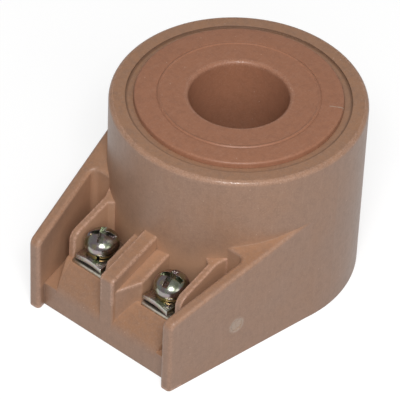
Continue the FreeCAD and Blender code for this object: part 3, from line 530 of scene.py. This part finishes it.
def round_over(piece, width, segments=3, angle=35):
    """Round the edges that turn by more than an angle in degrees."""
    step = piece.modifiers.new("rounding", "BEVEL")
    step.width = width * MM
    step.segments = segments
    step.limit_method = "ANGLE"
    step.angle_limit = math.radians(angle)
    bake(piece)
    piece.data.shade_smooth()
    piece.data.set_sharp_from_angle(angle=math.radians(angle))
    return piece


def settle(piece, finish, slot, *nodes):
    """Give a piece its finish, attach it to the root body and hide the nodes it stands for."""
    piece.data.materials.clear()
    piece.data.materials.append(finish)
    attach(piece, "root")
    if nodes:
        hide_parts(*nodes)
    print(piece.name, "faces", len(piece.data.polygons))


# %% Trees for turned shapes
def start_tree(name, sizes):
    """A tree whose inputs are a mesh, a material and the named sizes."""
    tree = bpy.data.node_groups.new(name, "GeometryNodeTree")
    sockets = tree.interface
    sockets.new_socket("Geometry", in_out="OUTPUT", socket_type="NodeSocketGeometry")
    sockets.new_socket("Outline", in_out="INPUT", socket_type="NodeSocketGeometry")
    sockets.new_socket("Finish", in_out="INPUT", socket_type="NodeSocketMaterial")
    kinds = {int: "NodeSocketInt", float: "NodeSocketFloat", Vector: "NodeSocketVector"}
    for label, value in sizes.items():
        sockets.new_socket(label, in_out="INPUT", socket_type=kinds[type(value)])
    entry = tree.nodes.new("NodeGroupInput")
    given = {socket.name: Wire(tree, socket) for socket in entry.outputs if socket.name}
    return Wire(tree), given


def end_tree(shape, finish, crease=40):
    """Shade smooth but for the creases, realize, set the material and end the tree."""
    smooth = shape.node("GeometryNodeSetShadeSmooth", {"domain": "FACE"}, {"Geometry": shape})
    bend = shape.node("GeometryNodeInputMeshEdgeAngle", {}, {}, "Unsigned Angle") > math.radians(crease)
    inputs = {"Geometry": smooth, "Selection": bend, "Shade Smooth": False}
    creased = shape.node("GeometryNodeSetShadeSmooth", {"domain": "EDGE"}, inputs)
    plain = shape.node("GeometryNodeRealizeInstances", {}, {"Geometry": creased})
    finished = shape.node("GeometryNodeSetMaterial", {}, {"Geometry": plain, "Material": finish})
    output = shape.tree.nodes.new("NodeGroupOutput")
    shape.feed(output.inputs["Geometry"], finished)
    return shape.tree


def turn_outline(wire, outline, segments):
    """Turn an outline about the Z axis. Its points lie at (radius - 10, -height) in millimetres."""
    ring = wire.node("GeometryNodeCurvePrimitiveCircle", {}, {"Resolution": segments, "Radius": 10 * MM})
    line = wire.node("GeometryNodeMeshToCurve", {}, {"Mesh": outline})
    turned = wire.node("GeometryNodeCurveToMesh", {}, {"Curve": ring, "Profile Curve": line})
    return wire.node("GeometryNodeMergeByDistance", {}, {"Geometry": turned, "Distance": 0.002 * MM})


def outline_mesh(name, points, closed=False):
    """The mesh of edges that turn_outline reads, from points of (radius, height) in millimetres."""
    places = [((r - 10) * MM, -z * MM, 0) for r, z in points]
    edges = [(i, i + 1) for i in range(len(points) - 1)]
    if closed:
        edges.append((len(points) - 1, 0))
    mesh = bpy.data.meshes.new(name)
    mesh.from_pydata(places, edges, [])
    return mesh


def grow(name, mesh, tree, finish, sizes):
    """Run a tree on a mesh with the given sizes, and keep the result as a plain piece."""
    piece = add_object(name, mesh)
    step = piece.modifiers.new("shape", "NODES")
    step.node_group = tree
    labels = {item.name: item.identifier for item in tree.interface.items_tree if item.in_out == "INPUT"}
    step[labels["Finish"]] = finish
    for label, value in sizes.items():
        step[labels[label]] = value
    return bake(piece)


# %% [markdown]
# ## Terminal screws
#
# A pan head of this kind is cold-headed: its top is a shallow dome that rolls over into the sides
# without a straight band, and the driver marks are struck into it, a cross with a slot through to
# the rim. The outline is turned, the marks are cut by boxes, and a helix makes the thread. The two
# screws stand at the angles at which they were left, which are inputs of the same tree.

# %% Screws
SCREW = {"Segments": 56, "Slot width": 1.15 * MM, "Slot depth": 1.1 * MM, "Cross width": 1.1 * MM,
         "Cross span": 4.6 * MM, "Cross depth": 1.5 * MM, "Head height": 3.95 * MM,
         "Thread radius": 1.58 * MM, "Thread pitch": 0.6 * MM, "Thread length": 8.0 * MM,
         "Turn": 0.0, "Seat": Vector((0, 0, 0))}
SCREW_TURN = {"left": 30, "right": 100}
HEAD_UNDERSIDE = 3.45


def box_at(wire, size, height):
    """A box centred on the axis at a height, with its size as three wires or numbers."""
    span = wire.node("ShaderNodeCombineXYZ", {}, dict(zip("XYZ", size)))
    lift = wire.node("ShaderNodeCombineXYZ", {}, {"Z": height})
    box = wire.node("GeometryNodeMeshCube", {}, {"Size": span})
    return wire.node("GeometryNodeTransform", {}, {"Geometry": box, "Translation": lift})


def screw_tree():
    wire, given = start_tree("terminal_screw", SCREW)
    turned = turn_outline(wire, given["Outline"], given["Segments"])
    top = given["Head height"]
    long_cut = 9 * MM
    slot = box_at(wire, (long_cut, given["Slot width"], given["Slot depth"] * 2), top)
    deep = given["Cross depth"] * 2
    along = box_at(wire, (given["Cross span"], given["Cross width"], deep), top)
    beside = box_at(wire, (given["Cross width"], given["Cross span"], deep), top)
    head = wire.node("GeometryNodeMeshBoolean", {"operation": "DIFFERENCE", "solver": "EXACT"},
                     {"Mesh 1": turned, "Mesh 2": [slot, along, beside]})
    turns = given["Thread length"] / given["Thread pitch"]
    radius = given["Thread radius"]
    helix = wire.node("GeometryNodeCurveSpiral", {}, {
        "Resolution": 20, "Rotations": turns, "Start Radius": radius, "End Radius": radius,
        "Height": given["Thread length"]})
    ridge = wire.node("GeometryNodeCurvePrimitiveCircle", {}, {"Resolution": 4, "Radius": 0.16 * MM})
    thread = wire.node("GeometryNodeCurveToMesh", {}, {"Curve": helix, "Profile Curve": ridge,
                                                       "Fill Caps": True})
    drop = wire.node("ShaderNodeCombineXYZ", {}, {"Z": (given["Thread length"] + 0.5 * MM) * -1})
    thread = wire.node("GeometryNodeTransform", {}, {"Geometry": thread, "Translation": drop})
    both = wire.node("GeometryNodeJoinGeometry", {}, {"Geometry": [head, thread]})
    spin = wire.node("ShaderNodeCombineXYZ", {}, {"Z": given["Turn"]})
    set_down = {"Geometry": both, "Rotation": spin, "Translation": given["Seat"]}
    return end_tree(wire.node("GeometryNodeTransform", {}, set_down), given["Finish"], 28)


def screw_outline(tip, core=1.5, dome=4.15, dome_turn=48, side=1.7, top=3.95):
    """Half section of the screw: domed head, rolled side, flat underside, shank and pointed end."""
    crown = arc((0, top - dome), dome, 90, 90 - dome_turn, 12)
    lean = math.radians(90 - dome_turn)
    hub = (crown[-1][0] - side * math.cos(lean), crown[-1][1] - side * math.sin(lean))
    underside_angle = -math.degrees(math.asin(hub[1] / side))
    rolled = arc(hub, side, 90 - dome_turn, underside_angle, 10)
    shank = [(core, 0), (core, tip + 0.5), (core - 0.5, tip), (0, tip)]
    return crown + rolled[1:] + shank


SCREWS = screw_tree()
for side, turn in SCREW_TURN.items():
    low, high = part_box(f"terminal_screw_{side}")
    axis = ((low[0] + high[0]) / 2, (low[1] + high[1]) / 2)
    underside = high[2] - HEAD_UNDERSIDE * MM
    tip = (low[2] - underside) / MM
    sizes = dict(SCREW, Turn=math.radians(turn), Seat=Vector((axis[0], axis[1], underside)))
    outline = outline_mesh(f"screw_outline_{side}", screw_outline(tip))
    piece = grow(f"dressed_screw_{side}", outline, SCREWS, ZINC, sizes)
    settle(piece, ZINC, "zinc_steel", f"terminal_screw_{side}")

# %% [markdown]
# ## Spring washers
#
# A spring washer is a bar of flat wire wound to one turn and cut off, so its ends stand a little
# apart. A spiral with a small height carries a rectangular section round the screw.

# %% Washers
WASHER = {"Middle radius": 2.25 * MM, "Width": 1.0 * MM, "Height": 0.5 * MM, "Lift": 0.14 * MM,
          "Turn": 0.0, "Seat": Vector((0, 0, 0))}
WASHER_TURN = {"left": -70, "right": 150}


def washer_tree():
    wire, given = start_tree("spring_washer", WASHER)
    radius = given["Middle radius"]
    ring = wire.node("GeometryNodeCurveSpiral", {}, {
        "Resolution": 64, "Rotations": 0.965, "Start Radius": radius, "End Radius": radius,
        "Height": given["Lift"]})
    section = wire.node("GeometryNodeCurvePrimitiveQuadrilateral", {}, {
        "Width": given["Width"], "Height": given["Height"]})
    wound = wire.node("GeometryNodeCurveToMesh", {}, {"Curve": ring, "Profile Curve": section,
                                                      "Fill Caps": True})
    spin = wire.node("ShaderNodeCombineXYZ", {}, {"Z": given["Turn"]})
    set_down = {"Geometry": wound, "Rotation": spin, "Translation": given["Seat"]}
    return end_tree(wire.node("GeometryNodeTransform", {}, set_down), given["Finish"])


WASHERS = washer_tree()
for side, turn in WASHER_TURN.items():
    low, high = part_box(f"spring_washer_{side}")
    screw_low, screw_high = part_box(f"terminal_screw_{side}")
    middle = Vector(((screw_low[0] + screw_high[0]) / 2, (screw_low[1] + screw_high[1]) / 2,
                     low[2] + WASHER["Height"] / 2))
    sizes = dict(WASHER, Turn=math.radians(turn), Seat=middle)
    mesh = bpy.data.meshes.new(f"washer_{side}")
    settle(grow(f"dressed_washer_{side}", mesh, WASHERS, GOLDEN, sizes), GOLDEN, "zinc_steel",
           f"spring_washer_{side}")

# %% [markdown]
# ## Saddle clamps and terminal plates
#
# The wire is held under a saddle clamp, a thick little plate pressed to a shallow arch, so only a
# thin dark crescent shows beneath it. Its sheared edges are rounded by the plating drum. The plate
# under it is a stamping whose front edge is a little torn. Both are drawn out bars with rounded
# edges. The right clamp was left slightly turned when its screw was driven down.

# %% Clamps
CLAMP = {"width": 6.6, "length": 8.0, "sheet": 1.2, "arch": 0.6, "edge": 0.32, "hole": 2.25}
PLATE = {"width": 7.5, "rise": 0.7, "thickness": 1.0, "edge": 0.10, "wide_behind_screw": 3.6,
         "tail": 3.6, "hole": 1.9, "above_floor_in_cad": 0.5}
CLAMP_PLACE = {"left": (0.0, 0.0), "right": (-0.4, -4.0)}


def clamp_section(width, sheet, arch):
    """The arched sheet seen along the wire, standing on z = 0."""
    radius = ((width / 2) ** 2 + arch ** 2) / (2 * arch)
    spread = math.degrees(math.asin(width / 2 / radius))
    under = arc((0, arch - radius), radius, 90 + spread, 90 - spread, 14)
    over = arc((0, arch - radius + sheet), radius, 90 - spread, 90 + spread, 14)
    return under + over


for side, (shift, turn) in CLAMP_PLACE.items():
    plate_low, plate_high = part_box(f"terminal_plate_{side}")
    screw_low, screw_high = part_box(f"terminal_screw_{side}")
    axis = Vector(((screw_low[0] + screw_high[0]) / 2, (screw_low[1] + screw_high[1]) / 2, 0))
    floor_z = plate_high[2] / MM - PLATE["above_floor_in_cad"]
    seat = floor_z + PLATE["rise"]
    clamp = bar(f"dressed_clamp_{side}", clamp_section(CLAMP["width"], CLAMP["sheet"], CLAMP["arch"]),
                "Y", -CLAMP["length"] / 2, CLAMP["length"] / 2)
    hole = bar("clamp_hole", arc((0, 0), CLAMP["hole"], 0, 350, 35), "Z", -1, 4)
    combine(clamp, "DIFFERENCE", hole)
    round_over(clamp, CLAMP["edge"])
    put = Matrix.Translation(axis + Vector((shift * MM, 0, seat * MM)))
    clamp.data.transform(put @ Matrix.Rotation(math.radians(turn), 4, "Z"))
    settle(clamp, SHEET_ZINC, "zinc_steel", f"saddle_clamp_{side}")

    front, back = plate_low[1] / MM, plate_high[1] / MM
    wide_back = axis.y / MM + PLATE["wide_behind_screw"]
    middle = axis.x / MM
    half, tail = PLATE["width"] / 2, PLATE["tail"] / 2
    outline = [(middle - half, front), (middle + half, front), (middle + half, wide_back),
               (middle + tail, wide_back), (middle + tail, back), (middle - tail, back),
               (middle - tail, wide_back), (middle - half, wide_back)]
    plate = bar(f"dressed_plate_{side}", outline, "Z", seat - PLATE["thickness"], seat)
    hole_outline = arc((middle, axis.y / MM), PLATE["hole"], 0, 350, 35)
    hole = bar("plate_hole", hole_outline, "Z", seat - 3, seat + 1)
    combine(plate, "DIFFERENCE", hole)
    round_over(plate, PLATE["edge"], 2)
    settle(plate, BRASS, "plated_brass", f"terminal_plate_{side}")

# %% [markdown]
# ## Thin walls beside the terminals
#
# In the photograph the thin wall outside each compartment has a top that slopes up to the body, in
# line with the wing beside it, and thickens where it meets the body. The ramp in front widens
# towards it. So the housing is copied without the faces of its own thin walls, and new ones are set
# in their place, with a strip of the body's skin behind them. Each wall is what two bars share: one
# with its side view and one with its plan.

# %% Housing with sloped walls
WALL = {"inner": 12.75, "outer": 14.25, "front": -32.8, "lean": 0.5 / 17.75, "foot": 5.0,
        "slope": math.tan(math.radians(15.0)), "top_front": 16.05, "corner": 2.4, "rear": -19.6,
        "edge": 0.38, "pocket_floor": 5.6, "old_top": 22.0, "old_front": -33.4, "old_rear": -20.3}
RAMP = {"front": -37.6, "base": 5.6, "top_front": -33.4, "top": 10.3, "blend": 4.0, "rear": -31.0,
        "inner": 12.6, "outer": 14.3}
ROOT = {"past_wall": 1.2, "depth": 3, "low": 3.0, "high": 23.0, "under_skin": 0.01}
BODY_RADIUS = 25.0


def rounded_corner(before, corner, after, radius, steps=8):
    """Points of the arc that rounds a corner of an outline."""
    first, second = (Vector(p) - Vector(corner) for p in (before, after))
    half = first.angle(second) / 2
    bisector = (first.normalized() + second.normalized()).normalized()
    centre = Vector(corner) + bisector * radius / math.sin(half)
    start = Vector(corner) + first.normalized() * radius / math.tan(half) - centre
    end = Vector(corner) + second.normalized() * radius / math.tan(half) - centre
    turn = start.angle_signed(end)
    begin = math.atan2(start.y, start.x)
    angles = [begin - turn * step / steps for step in range(steps + 1)]
    return [tuple(centre + Vector((math.cos(a), math.sin(a))) * radius) for a in angles]


def side_view(top_front):
    """The wall seen from the side, as (y, z)."""
    front, foot = WALL["front"], WALL["foot"]
    corner = (front + WALL["lean"] * top_front, top_front)
    rear_top = (WALL["rear"], top_front + (WALL["rear"] - corner[0]) * WALL["slope"])
    nose = rounded_corner((front, 0), corner, rear_top, WALL["corner"])
    return [(front + WALL["lean"] * foot, foot)] + nose + [rear_top, (WALL["rear"], foot)]


def wall_plan(sign):
    """The wall from above: straight, then wider at both sides where it meets the body."""
    return [(sign * x, y) for x, y in (
        (WALL["inner"], -34.0), (WALL["inner"], -22.85), (11.5, -22.2), (11.5, -20.5),
        (15.1, -19.6), (15.1, -19.9), (WALL["outer"], -22.0), (WALL["outer"], -34.0))]


def ramp_flank(sign):
    """The ramp's own profile, drawn out to the flared edge that it has beside the wall."""
    r = RAMP
    blend = rounded_corner((r["front"], 0), (r["front"], r["base"]), (r["top_front"], r["top"]), r["blend"])
    top = [(r["top_front"], r["top"]), (r["rear"], r["top"]), (r["rear"], 0.0)]
    profile = [(r["front"], 0.0)] + blend + top
    name = f"ramp_flank_{'left' if sign < 0 else 'right'}"
    flank = bar(name, profile, "X", sign * r["inner"], sign * r["outer"])
    plan = [(12.7, -37.5), (14.25, -32.6), (14.25, r["rear"]), (12.7, r["rear"])]
    return combine(flank, "INTERSECT", bar("flank_plan", [(sign * x, y) for x, y in plan], "Z", -1, 12))


def in_old_wall(mesh, face):
    """Whether a face of the housing belongs to one of its thin walls."""
    x, y, z = (value / MM for value in face.center)
    beside = WALL["inner"] - 0.03 < abs(x) < WALL["outer"] + 0.03
    along = WALL["old_front"] < y < WALL["old_rear"]
    upwards = WALL["pocket_floor"] + 0.02 < z < WALL["old_top"]
    radii = [math.hypot(*mesh.vertices[index].co.xy) / MM for index in face.vertices]
    on_body = all(abs(radius - BODY_RADIUS) < 0.02 for radius in radii)
    return beside and along and upwards and not on_body


def without_faces(name, mesh, unwanted):
    """A copy of a mesh that lacks some faces and shades the others as before."""
    kept = [face for face in mesh.polygons if not unwanted(mesh, face)]
    used = sorted({vertex for face in kept for vertex in face.vertices})
    number = {old: new for new, old in enumerate(used)}
    faces = [[number[vertex] for vertex in face.vertices] for face in kept]
    normals = [mesh.corner_normals[corner].vector for face in kept for corner in face.loop_indices]
    made = bpy.data.meshes.new(name)
    made.from_pydata([mesh.vertices[index].co for index in used], [], faces)
    made.shade_smooth()
    made.normals_split_custom_set(normals)
    return made


def wall_root(side, sign):
    """The round body's skin behind the old wall, which its faces leave open."""
    reach = BODY_RADIUS - ROOT["under_skin"]
    ends = (WALL["outer"] + ROOT["past_wall"], WALL["inner"] - ROOT["past_wall"])
    low, high = (math.degrees(math.acos(x / reach)) for x in ends)
    skin = arc((0, 0), reach, -low, -high, 12) + arc((0, 0), reach - ROOT["depth"], -high, -low, 12)
    return bar(f"wall_root_{side}", [(sign * x, y) for x, y in skin], "Z", ROOT["low"], ROOT["high"])


old_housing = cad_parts["housing"].data
housing = add_object("dressed_housing", without_faces("dressed_housing", old_housing, in_old_wall))
settle(housing, BROWN, "brown_moulding", "housing")
for side, sign in {"left": -1, "right": 1}.items():
    wall = bar(f"thin_wall_{side}", side_view(WALL["top_front"]), "X", sign * 10, sign * 16)
    combine(wall, "INTERSECT", bar("wall_plan", wall_plan(sign), "Z", 0, 30))
    round_over(wall, WALL["edge"])
    settle(wall, BROWN, "brown_moulding")
    root = wall_root(side, sign)
    root.data.shade_smooth()
    root.data.set_sharp_from_angle(angle=math.radians(30))
    settle(root, BROWN, "brown_moulding")
    settle(ramp_flank(sign), BROWN, "brown_moulding")

# %% [markdown]
# ## Bobbin
#
# The bobbin is moulded in a redder compound and then wound. Its top flange is what the camera sees
# inside the rim, with a fine ring line round it and a rounded lip at the bore. Its whole outline is
# turned, so the tube and the lower flange come from the same curve, and the slot of the start lead
# is cut by a box.

# %% Turned bobbin
BOBBIN = {"Segments": 160, "Slot width": 0.62 * MM, "Slot length": 9.0 * MM,
          "Slot centre": Vector((0, 0, 0))}
low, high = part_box("bobbin")
TOP_Z = high[2] / MM - 0.15
FLANGE = {"radius": high[0] / MM, "bore": 9.7, "tube": 10.9, "thickness": 2.4, "line": 15.45,
          "lip": 0.8, "edge": 0.5, "line_width": 0.34, "line_height": 0.15, "groove": 0.12}


def bobbin_outline():
    """Half section of the bobbin, from the foot of the bore round the outside and back down."""
    f = FLANGE
    under = TOP_Z - f["thickness"]
    lip = arc((f["bore"] + f["lip"], TOP_Z - f["lip"]), f["lip"], 90, 180, 8)
    ring = [(f["line"] + f["line_width"] * 1.6, TOP_Z), (f["line"] + f["line_width"], TOP_Z - f["groove"]),
            (f["line"] + 0.1, TOP_Z + f["line_height"]), (f["line"] - 0.1, TOP_Z + f["line_height"]),
            (f["line"] - f["line_width"], TOP_Z)]
    edge = arc((f["radius"] - f["edge"], TOP_Z - f["edge"]), f["edge"], 0, 90, 6)
    return [(f["bore"], 0), (f["radius"], 0), (f["radius"], f["thickness"]), (f["tube"], f["thickness"]),
            (f["tube"], under), (f["radius"], under)] + edge + ring + lip


def bobbin_tree():
    wire, given = start_tree("turned_bobbin", BOBBIN)
    turned = turn_outline(wire, given["Outline"], given["Segments"])
    parts = {"X": given["Slot width"], "Y": given["Slot length"], "Z": given["Slot width"]}
    box = wire.node("GeometryNodeMeshCube", {}, {"Size": wire.node("ShaderNodeCombineXYZ", {}, parts)})
    box = wire.node("GeometryNodeTransform", {}, {"Geometry": box, "Translation": given["Slot centre"]})
    cut = wire.node("GeometryNodeMeshBoolean", {"operation": "DIFFERENCE", "solver": "EXACT"},
                    {"Mesh 1": turned, "Mesh 2": box})
    return end_tree(cut, given["Finish"], 24)


lead_low, lead_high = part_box("lead_start")
slot_at = Vector(((lead_low[0] + lead_high[0]) / 2, lead_high[1] - 4.49 * MM, lead_low[2] + 0.31 * MM))
outline = outline_mesh("bobbin_outline", bobbin_outline(), closed=True)
sizes = dict(BOBBIN)
sizes["Slot centre"] = slot_at
settle(grow("dressed_bobbin", outline, bobbin_tree(), REDDER, sizes), REDDER, "bobbin_moulding", "bobbin")

# %% [markdown]
# ## Light, floor and surroundings
#
# The photograph has a white ground and soft light from near the camera: the highlights sit where
# the rounded edges face halfway between the camera and a lamp above it. The key lamp stands there.
# A broad fill beside the camera lights the hollows but isn't mirrored in the metal, a weak lamp
# stands to the right, and the world gives the rest evenly.

# %% Floor
def add_floor():
    material = bpy.data.materials.new("floor_white")
    material.use_nodes = True
    tree = material.node_tree
    tree.nodes.clear()
    wire = Wire(tree)
    path = [wire.node("ShaderNodeLightPath", {}, {}, name)
            for name in ("Is Camera Ray", "Is Glossy Ray", "Is Transmission Ray")]
    seen = path[0].maths("MAXIMUM", path[1]).maths("MAXIMUM", path[2])
    ground = wire.node("ShaderNodeBsdfDiffuse", {}, {"Color": (0.48, 0.48, 0.48)})
    shaded = wire.node("ShaderNodeBsdfDiffuse", {}, {"Color": (0.42, 0.42, 0.42)})
    glow = wire.node("ShaderNodeEmission", {}, {"Color": (1.0, 1.0, 1.0), "Strength": 0.68})
    shown = wire.node("ShaderNodeAddShader", {}, {0: shaded, 1: glow})
    surface = wire.node("ShaderNodeMixShader", {}, {0: seen, 1: ground, 2: shown})
    output = tree.nodes.new("ShaderNodeOutputMaterial")
    wire.feed(output.inputs["Surface"], surface)
    half = 1.5
    mesh = bpy.data.meshes.new("floor")
    mesh.from_pydata([(-half, -half, 0), (half, -half, 0), (half, half, 0), (-half, half, 0)], [],
                     [(0, 1, 2, 3)])
    mesh.materials.append(material)
    floor = bpy.data.objects.new("floor", mesh)
    floor.location.z = -0.02 * MM
    bpy.context.scene.collection.objects.link(floor)
    floor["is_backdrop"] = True


add_floor()


# %% Lamps and world
def add_lamp(name, azimuth, elevation, distance, size, power, colour=(1.0, 1.0, 1.0), mirrored=True):
    data = bpy.data.lights.new(name, "AREA")
    data.shape = "RECTANGLE"
    data.size, data.size_y = size
    data.energy = power
    data.color = colour
    lamp = bpy.data.objects.new(name, data)
    towards = camera_axes(azimuth, elevation, 0)
    target = Vector((0, -0.01, 0.02))
    lamp.matrix_world = Matrix.Translation(target + towards[2] * distance) @ Matrix((
        (towards[0].x, towards[1].x, towards[2].x, 0),
        (towards[0].y, towards[1].y, towards[2].y, 0),
        (towards[0].z, towards[1].z, towards[2].z, 0),
        (0, 0, 0, 1),
    ))
    lamp.visible_glossy = mirrored
    bpy.context.scene.collection.objects.link(lamp)


add_lamp("key_softbox", 40, 50, 0.60, (0.20, 0.11), 1.85)
add_lamp("front_fill", 40, 36, 0.80, (0.50, 0.36), 1.45, mirrored=False)
add_lamp("side_softbox", 82, 34, 0.60, (0.20, 0.20), 0.28, (1.0, 0.96, 0.92))
world = bpy.data.worlds.new("studio")
world.use_nodes = True
world_wire = Wire(world.node_tree)
seen_world = world_wire.node("ShaderNodeLightPath", {}, {}, "Is Camera Ray")
world_strength = seen_world * 0.66 + 0.34
world_wire.feed(world.node_tree.nodes["Background"].inputs["Color"], (1.0, 1.0, 1.0))
world_wire.feed(world.node_tree.nodes["Background"].inputs["Strength"], world_strength)
bpy.context.scene.world = world
bpy.context.scene.view_settings.view_transform = "Standard"
print("lamps ready")

# %% Finish
sizes = {"cad": [list(corner) for corner in CAD_BOX], "visual": [list(corner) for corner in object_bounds()]}
